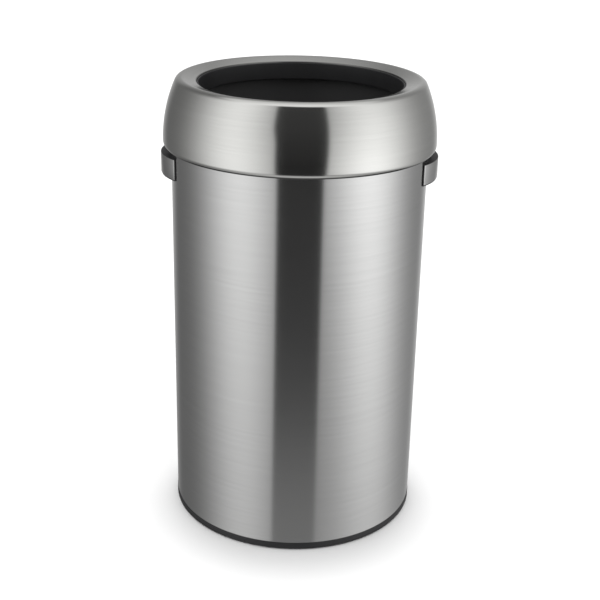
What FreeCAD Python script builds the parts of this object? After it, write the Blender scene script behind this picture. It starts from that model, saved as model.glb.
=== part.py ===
import FreeCAD, Part
import math
import os

import Sketcher

# Open-top round steel waste bin. Millimetres, +Z up, origin on the floor under the middle of the can.
# The front faces -Y and the two side handles lie on +X and -X.

# Driving sizes: name, value, meaning
DRIVING_SIZES = [
    ("body_radius", 177.0, "outside radius of the rolled shell"),
    ("body_height", 560.0, "top of the shell's bead above the floor"),
    ("sheet_gauge", 0.8, "sheet thickness of the shell and the hood"),
    ("bead_radius", 3.0, "outside radius of the curled bead at the shell's top"),
    ("seam_width", 10.0, "width of the lap seam down the back of the shell"),
    ("seam_proud", 0.5, "how far the lap seam stands out of the shell"),
    ("seam_inset", 3.0, "plain stretch between the lap seam and the shell's bottom edge"),
    ("ring_height", 11.5, "top of the base ring's band, where the shell stands"),
    ("ring_proud", 0.4, "how far the base ring stands out of the shell"),
    ("ring_wall", 3.0, "wall of the base ring"),
    ("ring_width", 21.0, "width of the base ring inwards from the shell's outside"),
    ("ring_upstand", 20.0, "height of the base ring's collar inside the shell"),
    ("shelf_drop", 1.5, "how far the base ring's shelf lies below its band's top"),
    ("rib_gauge", 2.0, "thickness of the ribs under the base ring"),
    ("rib_count", 12, "ribs under the base ring"),
    ("fixing_count", 6, "screws in the base pan, and pads under the base ring"),
    ("boss_radius", 4.5, "radius of the screw bosses and of the pads under them"),
    ("pad_height", 1.5, "how far the pads lift the base ring off the floor"),
    ("stud_length", 1.8, "length of a pad's push-in stud"),
    ("tip_gap", 0.5, "space past a screw's tip in its bore"),
    ("pan_gauge", 1.2, "sheet thickness of the base pan"),
    ("pan_step", 3.0, "height of the base pan's pressed plateau"),
    ("plateau_gap", 2.0, "space between the base pan's plateau and the bucket's floor"),
    ("screw_radius", 1.75, "radius of the screws"),
    ("head_radius", 4.0, "radius of the screw heads"),
    ("head_height", 2.4, "height of the screw heads"),
    ("handle_drop", 11.5, "height from the hood's bottom edge down to the top of a handle"),
    ("handle_height", 30.0, "height of a handle"),
    ("handle_depth", 14.2, "how far a handle's cup stands out of the shell"),
    ("handle_half_angle", 20.0, "angle from the middle of a handle to its end"),
    ("handle_end", 1.0, "thickness of a handle's cup where its bow ends"),
    ("cup_wall", 2.5, "wall of a handle's cup"),
    ("plate_gauge", 0.8, "thickness of the strip on a handle"),
    ("plate_top_margin", 0.8, "bare stretch of cup above the strip"),
    ("plate_bottom_margin", 1.6, "bare stretch of cup below the strip"),
    ("plate_end_gap", 0.15, "bare stretch of cup past each end of the strip, from front to back"),
    ("handle_screw_angle", 9.0, "angle from the middle of a handle to its screws"),
    ("handle_screw_drop", 6.0, "height from a handle's top down to its screws"),
    ("screw_bite", 8.0, "how far a handle screw reaches into its boss"),
    ("backing_half_angle", 16.0, "angle from the middle of a backing strip to its end"),
    ("backing_height", 18.0, "height of a backing strip"),
    ("backing_gauge", 1.5, "thickness of a backing strip"),
    ("liner_rise", 44.0, "height of the bucket's rim above the shell's bead"),
    ("liner_play", 4.0, "space between the bucket's rim and the lid's centring lip"),
    ("liner_foot_gap", 14.5, "space between the bucket's foot and the heads of the base screws"),
    ("liner_foot_width", 14.0, "width of the bucket's foot ring"),
    ("liner_wall", 2.2, "wall of the bucket"),
    ("liner_floor", 2.5, "thickness of the bucket's floor"),
    ("liner_lip_width", 6.0, "width of the bucket's turned rim"),
    ("liner_lip_depth", 9.0, "depth of the bucket's turned rim"),
    ("grip_width", 90.0, "width of the bucket's hand holes"),
    ("grip_height", 24.0, "height of the bucket's hand holes"),
    ("grip_drop", 13.0, "height from the bucket's rim down to its hand holes"),
    ("grip_corner", 9.0, "corner radius of the bucket's hand holes"),
    ("bead_play", 2.24, "space between the shell's bead and the skirt of the lid's seat ring"),
    ("lid_overlap", 9.0, "height from the shell's bead down to the hood's widest line"),
    ("edge_radius", 8.5, "outside radius of the hood's inward curl at its bottom edge"),
    ("edge_angle", 50.0, "angle of that curl"),
    ("side_radius", 196.0, "outside radius of the hood's convex side, in section"),
    ("crest_radius", 9.0, "outside radius of the hood's crest, in section"),
    ("dish_slope", 15.0, "slope of the dished top, rising from the mouth to the crest"),
    ("mouth_radius", 141.5, "radius of the mouth"),
    ("mouth_rise", 70.6, "height of the mouth's edge above the shell's bead"),
    ("mouth_bend", 1.6, "outside radius of the bend at the mouth's edge"),
    ("mouth_flange", 8.0, "depth of the hood's turned-down edge in the mouth"),
    ("collar_wall", 2.3, "wall of the mouth collar"),
    ("collar_depth", 24.6, "depth of the mouth collar below the mouth's edge"),
    ("collar_web", 2.0, "web under the mouth collar's grip slot"),
    ("collar_set_down", 1.2, "how far the collar's top lies below the mouth's edge"),
    ("seat_wall", 2.5, "wall of the lid's seat ring"),
    ("seat_lip_depth", 12.0, "depth of the seat ring's centring lip below its web"),
    ("lid_play", 2.5, "space between the centring lip and the shell"),
    ("slip_fit", 0.1, "gap between pieces that are fixed to each other"),
    ("run_gap", 0.3, "gap between pieces that lift apart"),
]

NODE_FOLDER = "parts"
RIGHT_SIDE_DEGREES = 0
LEFT_SIDE_DEGREES = 180


# Sizes that carry their own expression

class Size:
    """A number with the expression that gives it, so that a sketch starts where its constraints put it."""

    def __init__(self, value, text):
        self.value = value
        self.text = text

    def __add__(self, other):
        other = as_size(other)
        return Size(self.value + other.value, f"({self.text} + {other.text})")

    def __sub__(self, other):
        other = as_size(other)
        return Size(self.value - other.value, f"({self.text} - {other.text})")

    def __mul__(self, other):
        other = as_size(other)
        return Size(self.value * other.value, f"({self.text} * {other.text})")

    def __truediv__(self, other):
        other = as_size(other)
        return Size(self.value / other.value, f"({self.text} / {other.text})")

    def __neg__(self):
        return Size(-self.value, f"(-1 * {self.text})")


def as_size(number):
    if isinstance(number, Size):
        return number
    return Size(number, repr(number))


def cell(name):
    return Size(sheet.get(name), f"sizes.{name}")


def angle_cell(name):
    return Size(sheet.get(name), f"(sizes.{name} * 1 deg)")


def sine(angle):
    return Size(math.sin(math.radians(angle.value)), f"sin({angle.text})")


def cosine(angle):
    return Size(math.cos(math.radians(angle.value)), f"cos({angle.text})")


def arcsine(ratio):
    return Size(math.degrees(math.asin(ratio.value)), f"asin({ratio.text})")


def smaller(first, second):
    return Size(min(first.value, second.value), f"min({first.text}; {second.text})")


def root(square):
    return Size(math.sqrt(square.value), f"sqrt({square.text})")


# Points in a sketch are pairs of sizes

ZERO = Size(0.0, "0")
CENTRE = (ZERO, ZERO)


def polar(radius, angle):
    return (radius * cosine(angle), radius * sine(angle))


def shifted(point, across, up):
    return (point[0] + across, point[1] + up)


def mirrored(point):
    return (point[0], -point[1])


def bow_centre(front, end):
    """Distance from the can's axis to the middle of an arc that runs from end to end over the front."""
    square = front * front - end[0] * end[0] - end[1] * end[1]
    return square / ((front - end[0]) * 2)


def crossing(radius, distance, other_radius):
    """Where a circle about the can's axis meets one whose middle lies at a distance across."""
    square = radius * radius + distance * distance - other_radius * other_radius
    across = square / (distance * 2)
    return (across, root(radius * radius - across * across))


# Outlines and circles in sketches

def line_to(end):
    return (end, None, None)


def arc_to(end, centre, radius):
    return (end, centre, radius)


def vector(point):
    return FreeCAD.Vector(point[0].value, point[1].value, 0)


def arc_between(begin, end, centre):
    """The shorter arc from begin to end, and whether it runs anticlockwise."""
    middle = vector(centre)
    first = vector(begin) - middle
    last = vector(end) - middle
    anticlockwise = first.cross(last).z > 0
    if not anticlockwise:
        first, last = last, first
    circle = Part.Circle(middle, FreeCAD.Vector(0, 0, 1), first.Length)
    start_angle = math.atan2(first.y, first.x)
    end_angle = math.atan2(last.y, last.x)
    return Part.ArcOfCircle(circle, start_angle, end_angle), anticlockwise


def bind(sketch, name, constraint, text):
    index = sketch.addConstraint(constraint)
    sketch.renameConstraint(index, name)
    sketch.setExpression(f"Constraints.{name}", text)


def place_point(sketch, name, geometry, end, point):
    """Hold one end of a line or arc at its place from the sketch's origin."""
    origin_index = (-1, 1)
    upright_axis_index = -2
    level_axis_index = -1
    if point[0] is ZERO:
        sketch.addConstraint(Sketcher.Constraint("PointOnObject", geometry, end, upright_axis_index))
    else:
        across = Sketcher.Constraint("DistanceX", *origin_index, geometry, end, point[0].value)
        bind(sketch, f"{name}_across", across, point[0].text)
    if point[1] is ZERO:
        sketch.addConstraint(Sketcher.Constraint("PointOnObject", geometry, end, level_axis_index))
    else:
        up = Sketcher.Constraint("DistanceY", *origin_index, geometry, end, point[1].value)
        bind(sketch, f"{name}_up", up, point[1].text)


def draw_outline(sketch, steps):
    """A closed outline: each step runs from the last step's end to its own, straight or round."""
    start_index, end_index = 1, 2
    ends = []
    for index, (end, centre, radius) in enumerate(steps):
        begin = steps[index - 1][0]
        if centre is None:
            sketch.addGeometry(Part.LineSegment(vector(begin), vector(end)), False)
            ends.append((start_index, end_index))
            continue
        arc, anticlockwise = arc_between(begin, end, centre)
        sketch.addGeometry(arc, False)
        ends.append((start_index, end_index) if anticlockwise else (end_index, start_index))
    for index in range(len(steps)):
        before = index - 1 if index else len(steps) - 1
        joint = Sketcher.Constraint("Coincident", before, ends[before][1], index, ends[index][0])
        sketch.addConstraint(joint)
    for index, (end, centre, radius) in enumerate(steps):
        place_point(sketch, f"corner{index}", index, ends[index][1], end)
        if radius is not None:
            bind(sketch, f"round{index}", Sketcher.Constraint("Radius", index, radius.value), radius.text)


def draw_circle(sketch, middle, radius):
    middle_index = 3
    upright = FreeCAD.Vector(0, 0, 1)
    index = sketch.addGeometry(Part.Circle(vector(middle), upright, radius.value), False)
    place_point(sketch, f"middle{index}", index, middle_index, middle)
    bind(sketch, f"round{index}", Sketcher.Constraint("Radius", index, radius.value), radius.text)


# Bodies and features

def origin_feature(body, role):
    for feature in body.Origin.OriginFeatures:
        if feature.Role == role:
            return feature
    raise ValueError(role)


def new_body(node, turn=RIGHT_SIDE_DEGREES):
    """A named body, turned about the can's axis where it stands on the left side."""
    body = doc.addObject("PartDesign::Body", node)
    body.Label = node
    body.AllowCompound = True
    body.Placement = FreeCAD.Placement(FreeCAD.Vector(), FreeCAD.Rotation(FreeCAD.Vector(0, 0, 1), turn))
    nodes.append(body)
    return body


def new_sketch(body, name, plane, across=ZERO, up=ZERO, out=ZERO, turn=None):
    """A sketch on one of the body's own planes, turned about the can's axis and set out from that axis."""
    sketch = body.newObject("Sketcher::SketchObject", f"{body.Name}_{name}")
    sketch.AttachmentSupport = [(origin_feature(body, plane), "")]
    sketch.MapMode = "FlatFace"
    upright = FreeCAD.Vector(0, 0, 1) if plane == "XY_Plane" else FreeCAD.Vector(0, 1, 0)
    degrees = turn.value if turn else 0
    if turn and out is not ZERO and plane == "YZ_Plane":
        across = out * sine(turn)
        out = out * cosine(turn)
    base = FreeCAD.Vector(across.value, up.value, out.value)
    sketch.AttachmentOffset = FreeCAD.Placement(base, FreeCAD.Rotation(upright, degrees))
    for axis, size in (("x", across), ("y", up), ("z", out)):
        if size is not ZERO:
            sketch.setExpression(f"AttachmentOffset.Base.{axis}", size.text)
    if turn:
        sketch.setExpression("AttachmentOffset.Rotation.Angle", turn.text)
    return sketch


def revolve(body, sketch, axis="V_Axis"):
    feature = body.newObject("PartDesign::Revolution", f"{sketch.Name}_turned")
    feature.Profile = sketch
    feature.ReferenceAxis = (sketch, [axis])
    feature.Angle = 360
    return feature


def pad(body, sketch, length):
    feature = body.newObject("PartDesign::Pad", f"{sketch.Name}_pad")
    feature.Profile = sketch
    feature.setExpression("Length", length.text)
    return feature


def pocket(body, sketch, depth):
    """A cut that goes the way the sketch's normal points."""
    feature = body.newObject("PartDesign::Pocket", f"{sketch.Name}_cut")
    feature.Profile = sketch
    feature.Reversed = True
    feature.setExpression("Length", depth.text)
    return feature


def pierce(body, sketch):
    """A cut through everything, on both sides of the sketch."""
    feature = body.newObject("PartDesign::Pocket", f"{sketch.Name}_cut")
    feature.Profile = sketch
    feature.SideType = "Symmetric"
    feature.Type = "ThroughAll"
    return feature


def polar_pattern(body, name, originals, count):
    feature = body.newObject("PartDesign::PolarPattern", f"{body.Name}_{name}")
    feature.Originals = originals
    feature.Axis = (origin_feature(body, "Z_Axis"), [""])
    feature.Angle = 360
    feature.setExpression("Occurrences", count.text)
    body.Tip = feature
    return feature


def mirror_front_to_back(body, name, originals):
    feature = body.newObject("PartDesign::Mirrored", f"{body.Name}_{name}")
    feature.Originals = originals
    feature.MirrorPlane = (origin_feature(body, "XZ_Plane"), [""])
    body.Tip = feature
    return feature


# Document and sheet

doc = FreeCAD.newDocument("waste_bin")
sheet = doc.addObject("Spreadsheet::Sheet", "sizes")
for row, (name, value, meaning) in enumerate(DRIVING_SIZES, start=1):
    sheet.set(f"A{row}", meaning)
    sheet.set(f"B{row}", str(value))
    sheet.setAlias(f"B{row}", name)
doc.recompute()
nodes = []

# Places that several pieces share

body_radius = cell("body_radius")
body_height = cell("body_height")
gauge = cell("sheet_gauge")
slip_fit = cell("slip_fit")
run_gap = cell("run_gap")
shell_inside = body_radius - gauge

ring_height = cell("ring_height")
ring_wall = cell("ring_wall")
ring_width = cell("ring_width")
shelf_height = ring_height - cell("shelf_drop")
upstand_outside = shell_inside - slip_fit
upstand_inside = upstand_outside - ring_wall
fixing_circle = body_radius - ring_width / 2
pan_top = shelf_height + cell("pan_gauge")
pad_height = cell("pad_height")
screw_radius = cell("screw_radius")
head_radius = cell("head_radius")
head_height = cell("head_height")
screw_hole = screw_radius + slip_fit

bead_radius = cell("bead_radius")
seat_wall = cell("seat_wall")
seat_web_bottom = body_height + run_gap
seat_web_top = seat_web_bottom + seat_wall
skirt_outside = shell_inside + bead_radius * 2 + cell("bead_play") + seat_wall
lip_outside = shell_inside - cell("lid_play")
lip_inside = lip_outside - seat_wall

widest_height = body_height - cell("lid_overlap")
side_radius = cell("side_radius")
side_inside = side_radius - gauge
seat_rise = seat_web_top - widest_height
side_reach = root(side_inside * side_inside - seat_rise * seat_rise)
side_middle = (skirt_outside + slip_fit - side_reach, widest_height)
lid_radius = side_middle[0] + side_radius
edge_radius = cell("edge_radius")
edge_angle = angle_cell("edge_angle")
edge_middle = (lid_radius - edge_radius, widest_height)
edge_height = widest_height - edge_radius * sine(edge_angle)
mouth_radius = cell("mouth_radius")
mouth_height = body_height + cell("mouth_rise")
flange_bottom = mouth_height - cell("mouth_flange")

liner_foot_radius = fixing_circle - head_radius - cell("liner_foot_gap")
liner_foot_inside = liner_foot_radius - cell("liner_foot_width")

handle_top = edge_height - cell("handle_drop")
handle_height = cell("handle_height")
handle_bottom = handle_top - handle_height
handle_screw_height = handle_top - cell("handle_screw_drop")
handle_screw_angle = angle_cell("handle_screw_angle")
handle_angle = angle_cell("handle_half_angle")
cup_back = body_radius + slip_fit
cup_front = body_radius + cell("handle_depth")
cup_wall = cell("cup_wall")
cup_end = polar(cup_back + cell("handle_end"), handle_angle)
bow_middle = (bow_centre(cup_front, cup_end), ZERO)
bow_radius = cup_front - bow_middle[0]
backing_outside = shell_inside - slip_fit
backing_inside = backing_outside - cell("backing_gauge")


# Body: shell and base

def handle_screw_holes(body, name, turn):
    """Straight through both sides of the can, so one cut serves a screw of each handle."""
    sketch = new_sketch(body, name, "YZ_Plane", turn=turn)
    draw_circle(sketch, (ZERO, handle_screw_height), screw_hole)
    return pierce(body, sketch)


def make_body_shell():
    body = new_body("body_shell")
    bead = bead_radius
    hollow = bead - gauge
    middle = (shell_inside + bead, body_height - bead)
    section = new_sketch(body, "section", "XZ_Plane")
    draw_outline(section, [
        line_to((shell_inside, ring_height)),
        line_to((shell_inside, middle[1])),
        arc_to(shifted(middle, ZERO, bead), middle, bead),
        arc_to(shifted(middle, bead, ZERO), middle, bead),
        arc_to(shifted(middle, ZERO, -bead), middle, bead),
        line_to(shifted(middle, ZERO, -hollow)),
        arc_to(shifted(middle, hollow, ZERO), middle, hollow),
        arc_to(shifted(middle, ZERO, hollow), middle, hollow),
        arc_to((body_radius, middle[1]), middle, hollow),
        line_to((body_radius, ring_height)),
    ])
    revolve(body, section)
    seam_bottom = ring_height + cell("seam_inset")
    seam_half = cell("seam_width") / 2
    seam_outside = body_radius + cell("seam_proud")
    seam_inside = body_radius - gauge / 2
    seam = new_sketch(body, "seam", "XY_Plane", out=seam_bottom)
    draw_outline(seam, [
        line_to((seam_half, seam_inside)),
        line_to((seam_half, seam_outside)),
        line_to((-seam_half, seam_outside)),
        line_to((-seam_half, seam_inside)),
    ])
    pad(body, seam, middle[1] - bead - seam_bottom)
    handle_screw_holes(body, "back_right_hole", handle_screw_angle)
    handle_screw_holes(body, "front_right_hole", -handle_screw_angle)


def make_base_ring():
    body = new_body("base_ring")
    outside = body_radius + cell("ring_proud")
    inside = body_radius - ring_width
    web_bottom = shelf_height - ring_wall
    section = new_sketch(body, "section", "XZ_Plane")
    draw_outline(section, [
        line_to((outside, pad_height)),
        line_to((outside, ring_height)),
        line_to((upstand_outside, ring_height)),
        line_to((upstand_outside, ring_height + cell("ring_upstand"))),
        line_to((upstand_inside, ring_height + cell("ring_upstand"))),
        line_to((upstand_inside, shelf_height)),
        line_to((inside, shelf_height)),
        line_to((inside, pad_height)),
        line_to((inside + ring_wall, pad_height)),
        line_to((inside + ring_wall, web_bottom)),
        line_to((outside - ring_wall, web_bottom)),
        line_to((outside - ring_wall, pad_height)),
    ])
    revolve(body, section)
    rib_count = cell("rib_count")
    rib_half = cell("rib_gauge") / 2
    rib_turn = Size(180, "(180 * 1 deg)") / rib_count
    rib_bottom = pad_height + ring_wall / 2
    rib = new_sketch(body, "rib", "XY_Plane", out=rib_bottom, turn=rib_turn)
    rib_start = inside + ring_wall / 2
    rib_end = outside - ring_wall / 2
    draw_outline(rib, [
        line_to((rib_start, -rib_half)),
        line_to((rib_end, -rib_half)),
        line_to((rib_end, rib_half)),
        line_to((rib_start, rib_half)),
    ])
    rib_pad = pad(body, rib, shelf_height - ring_wall / 2 - rib_bottom)
    polar_pattern(body, "ribs", [rib_pad], rib_count)
    boss = new_sketch(body, "boss", "XY_Plane", out=pad_height)
    draw_circle(boss, (fixing_circle, ZERO), cell("boss_radius"))
    boss_pad = pad(body, boss, shelf_height - ring_wall / 2 - pad_height)
    bore = new_sketch(body, "bore", "XY_Plane", out=pad_height)
    draw_circle(bore, (fixing_circle, ZERO), screw_hole)
    boss_bore = pocket(body, bore, shelf_height - pad_height)
    polar_pattern(body, "bosses", [boss_pad, boss_bore], cell("fixing_count"))


def make_base_pan():
    body = new_body("base_pan")
    edge = upstand_inside - slip_fit
    pan_step = cell("pan_step")
    step_end = liner_foot_inside - cell("plateau_gap")
    step_start = step_end - pan_step
    section = new_sketch(body, "section", "XZ_Plane")
    draw_outline(section, [
        line_to((ZERO, shelf_height + pan_step)),
        line_to((step_start, shelf_height + pan_step)),
        line_to((step_end, shelf_height)),
        line_to((edge, shelf_height)),
        line_to((edge, pan_top)),
        line_to((step_end, pan_top)),
        line_to((step_start, pan_top + pan_step)),
        line_to((ZERO, pan_top + pan_step)),
    ])
    revolve(body, section)
    hole = new_sketch(body, "hole", "XY_Plane", out=shelf_height)
    draw_circle(hole, (fixing_circle, ZERO), screw_hole)
    hole_cut = pocket(body, hole, cell("pan_gauge"))
    polar_pattern(body, "holes", [hole_cut], cell("fixing_count"))


def screw_outline(seat, tip, head_side):
    """Half section of a pan-head screw as (radius, place along its axis) pairs, tip first."""
    shoulder = head_height / 3
    return [
        (ZERO, tip),
        (screw_radius, tip),
        (screw_radius, seat),
        (head_radius, seat),
        (head_radius, seat + (head_height - shoulder) * head_side),
        (head_radius - shoulder, seat + head_height * head_side),
        (ZERO, seat + head_height * head_side),
    ]


def make_base_screws():
    """Heads up on the pan, tips in the base ring's bosses."""
    body = new_body("base_screws")
    tip = pad_height + cell("stud_length") + cell("tip_gap")
    section = new_sketch(body, "section", "XZ_Plane", across=fixing_circle)
    draw_outline(section, [line_to(point) for point in screw_outline(pan_top, tip, 1)])
    screw = revolve(body, section)
    polar_pattern(body, "group", [screw], cell("fixing_count"))


def make_base_pads():
    body = new_body("base_pads")
    boss_radius = cell("boss_radius")
    stud_top = pad_height + cell("stud_length")
    section = new_sketch(body, "section", "XZ_Plane", across=fixing_circle)
    draw_outline(section, [
        line_to((ZERO, ZERO)),
        line_to((boss_radius, ZERO)),
        line_to((boss_radius, pad_height)),
        line_to((screw_radius, pad_height)),
        line_to((screw_radius, stud_top)),
        line_to((ZERO, stud_top)),
    ])
    one_pad = revolve(body, section)
    polar_pattern(body, "group", [one_pad], cell("fixing_count"))


# Handles, each made for the right side and turned to the left

def on_bow(radius, angle):
    """A point on an arc about the middle of the handle's bow."""
    return shifted(polar(radius, angle), bow_middle[0], ZERO)


def make_handle_cup(side, turn):
    """A crescent seen from above, hollow and open below, with a boss for each screw."""
    body = new_body(f"{side}_handle_cup", turn)
    back_end = polar(cup_back, handle_angle)
    outline = new_sketch(body, "outline", "XY_Plane", out=handle_bottom)
    draw_outline(outline, [
        arc_to(back_end, CENTRE, cup_back),
        line_to(cup_end),
        arc_to(mirrored(cup_end), bow_middle, bow_radius),
        line_to(mirrored(back_end)),
    ])
    pad(body, outline, handle_height)
    hollow_radius = bow_radius - cup_wall
    hollow_end = crossing(shell_inside, bow_middle[0], hollow_radius)
    hollow = new_sketch(body, "hollow", "XY_Plane", out=handle_bottom)
    draw_outline(hollow, [
        arc_to(mirrored(hollow_end), bow_middle, hollow_radius),
        line_to(hollow_end),
    ])
    pocket(body, hollow, handle_height - cup_wall)
    boss = new_sketch(body, "boss", "YZ_Plane", out=cup_back, turn=handle_screw_angle)
    draw_circle(boss, (ZERO, handle_screw_height), cell("boss_radius"))
    bow_along, bow_aside = polar(bow_middle[0], handle_screw_angle)
    bow_reach = bow_along + root(bow_radius * bow_radius - bow_aside * bow_aside)
    boss_pad = pad(body, boss, bow_reach - cup_wall / 2 - cup_back)
    bore = new_sketch(body, "bore", "YZ_Plane", out=cup_back, turn=handle_screw_angle)
    draw_circle(bore, (ZERO, handle_screw_height), screw_hole)
    boss_bore = pocket(body, bore, cell("screw_bite") + cell("tip_gap"))
    mirror_front_to_back(body, "bosses", [boss_pad, boss_bore])


def make_handle_plate(side, turn):
    """A strip bent round the cup's bow."""
    body = new_body(f"{side}_handle_plate", turn)
    strip_bottom = handle_bottom + cell("plate_bottom_margin")
    near_radius = bow_radius + slip_fit
    far_radius = near_radius + cell("plate_gauge")
    strip_angle = arcsine((cup_end[1] - cell("plate_end_gap")) / bow_radius)
    near_end = on_bow(near_radius, strip_angle)
    far_end = on_bow(far_radius, strip_angle)
    outline = new_sketch(body, "outline", "XY_Plane", out=strip_bottom)
    draw_outline(outline, [
        arc_to(mirrored(near_end), bow_middle, near_radius),
        line_to(mirrored(far_end)),
        arc_to(far_end, bow_middle, far_radius),
        line_to(near_end),
    ])
    pad(body, outline, handle_top - cell("plate_top_margin") - strip_bottom)


def make_handle_backing(side, turn):
    """A curved strip against the shell's inside, under the screw heads."""
    body = new_body(f"{side}_handle_backing", turn)
    half_angle = angle_cell("backing_half_angle")
    height = cell("backing_height")
    outer = polar(backing_outside, half_angle)
    inner = polar(backing_inside, half_angle)
    outline = new_sketch(body, "outline", "XY_Plane", out=handle_screw_height - height / 2)
    draw_outline(outline, [
        arc_to(outer, CENTRE, backing_outside),
        line_to(inner),
        arc_to(mirrored(inner), CENTRE, backing_inside),
        line_to(mirrored(outer)),
    ])
    pad(body, outline, height)
    hole = new_sketch(body, "hole", "YZ_Plane", turn=handle_screw_angle)
    draw_circle(hole, (ZERO, handle_screw_height), screw_hole)
    hole_cut = pocket(body, hole, body_radius)
    mirror_front_to_back(body, "holes", [hole_cut])


def make_handle_screws(side, turn):
    """Heads inside the shell on the backing strip, tips in the cup's bosses."""
    body = new_body(f"{side}_handle_screws", turn)
    seat = backing_inside - slip_fit
    tip = cup_back + cell("screw_bite")
    section = new_sketch(body, "section", "XZ_Plane", up=handle_screw_height, turn=handle_screw_angle)
    outline = screw_outline(seat, tip, -1)
    draw_outline(section, [line_to((along, radius)) for radius, along in outline])
    screw = revolve(body, section, "H_Axis")
    mirror_front_to_back(body, "group", [screw])


# Bucket

def make_liner_bucket():
    """A tapered bucket that stands on the base pan, with a turned rim and two hand holes."""
    body = new_body("liner_bucket")
    wall = cell("liner_wall")
    foot_height = pan_top + run_gap
    floor_bottom = pan_top + cell("pan_step") + cell("plateau_gap")
    floor_top = floor_bottom + cell("liner_floor")
    rim_height = body_height + cell("liner_rise")
    rim_radius = lip_inside - cell("liner_play")
    neck_radius = rim_radius - cell("liner_lip_width")
    lip_bottom = rim_height - cell("liner_lip_depth")
    section = new_sketch(body, "section", "XZ_Plane")
    draw_outline(section, [
        line_to((liner_foot_radius, foot_height)),
        line_to((neck_radius, rim_height - wall)),
        line_to((rim_radius - wall, rim_height - wall)),
        line_to((rim_radius - wall, lip_bottom)),
        line_to((rim_radius, lip_bottom)),
        line_to((rim_radius, rim_height)),
        line_to((neck_radius - wall, rim_height)),
        line_to((liner_foot_radius - wall, floor_top)),
        line_to((ZERO, floor_top)),
        line_to((ZERO, floor_bottom)),
        line_to((liner_foot_inside, floor_bottom)),
        line_to((liner_foot_inside, foot_height)),
    ])
    revolve(body, section)
    half_width = cell("grip_width") / 2
    corner = cell("grip_corner")
    top = rim_height - cell("grip_drop")
    bottom = top - cell("grip_height")
    hand_hole = new_sketch(body, "hand_hole", "YZ_Plane")
    draw_outline(hand_hole, [
        line_to((half_width - corner, bottom)),
        arc_to((half_width, bottom + corner), (half_width - corner, bottom + corner), corner),
        line_to((half_width, top - corner)),
        arc_to((half_width - corner, top), (half_width - corner, top - corner), corner),
        line_to((corner - half_width, top)),
        arc_to((-half_width, top - corner), (corner - half_width, top - corner), corner),
        line_to((-half_width, bottom + corner)),
        arc_to((corner - half_width, bottom), (corner - half_width, bottom + corner), corner),
    ])
    pierce(body, hand_hole)


# Lid

def along(middle, radius, direction):
    return shifted(middle, radius * direction[0], radius * direction[1])


def make_lid_hood():
    """One drawn sheet: curled edge, convex side, round crest, dished top and turned-down mouth.

    The crest's radius is limited to a third of the rim between the mouth and the side.
    """
    body = new_body("lid_hood")
    slope = angle_cell("dish_slope")
    mouth_lift = mouth_height - widest_height
    rim_outside = side_middle[0] + root(side_radius * side_radius - mouth_lift * mouth_lift)
    crest = smaller(cell("crest_radius"), (rim_outside - mouth_radius) / 3)
    bend = cell("mouth_bend")
    dish_normal = (-sine(slope), cosine(slope))
    drop = (side_middle[0] - mouth_radius) * dish_normal[0] + (side_middle[1] - mouth_height) * dish_normal[1]
    crest_angle = slope + arcsine((-drop - crest) / (side_radius - crest))
    crest_direction = (cosine(crest_angle), sine(crest_angle))
    crest_middle = along(side_middle, side_radius - crest, crest_direction)
    bend_up = mouth_height + bend * sine(slope) / cosine(slope) - bend / cosine(slope)
    bend_middle = (mouth_radius + bend, bend_up)
    edge_direction = (cosine(edge_angle), -sine(edge_angle))
    section = new_sketch(body, "section", "XZ_Plane")
    draw_outline(section, [
        line_to(along(edge_middle, edge_radius, edge_direction)),
        arc_to((lid_radius, widest_height), edge_middle, edge_radius),
        arc_to(along(side_middle, side_radius, crest_direction), side_middle, side_radius),
        arc_to(along(crest_middle, crest, dish_normal), crest_middle, crest),
        line_to(along(bend_middle, bend, dish_normal)),
        arc_to((mouth_radius, bend_up), bend_middle, bend),
        line_to((mouth_radius, flange_bottom)),
        line_to((mouth_radius + gauge, flange_bottom)),
        line_to((mouth_radius + gauge, bend_up)),
        arc_to(along(bend_middle, bend - gauge, dish_normal), bend_middle, bend - gauge),
        line_to(along(crest_middle, crest - gauge, dish_normal)),
        arc_to(along(side_middle, side_radius - gauge, crest_direction), crest_middle, crest - gauge),
        arc_to((lid_radius - gauge, widest_height), side_middle, side_radius - gauge),
        arc_to(along(edge_middle, edge_radius - gauge, edge_direction), edge_middle, edge_radius - gauge),
    ])
    revolve(body, section)


def make_mouth_collar():
    """Lines the mouth and grips the hood's turned-down edge in a slot."""
    body = new_body("mouth_collar")
    wall = cell("collar_wall")
    inner_face = mouth_radius - slip_fit - wall
    slot_near = mouth_radius - slip_fit
    slot_far = mouth_radius + gauge + slip_fit
    outer_face = slot_far + wall
    top = mouth_height - cell("collar_set_down")
    slot_bottom = flange_bottom - slip_fit
    web_bottom = slot_bottom - cell("collar_web")
    grip_top = (flange_bottom + top) / 2
    bottom = mouth_height - cell("collar_depth")
    section = new_sketch(body, "section", "XZ_Plane")
    draw_outline(section, [
        line_to((inner_face, bottom)),
        line_to((slot_near, bottom)),
        line_to((slot_near, web_bottom)),
        line_to((outer_face, web_bottom)),
        line_to((outer_face, grip_top)),
        line_to((slot_far, grip_top)),
        line_to((slot_far, slot_bottom)),
        line_to((slot_near, slot_bottom)),
        line_to((slot_near, top)),
        line_to((inner_face, top)),
    ])
    revolve(body, section)


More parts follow.
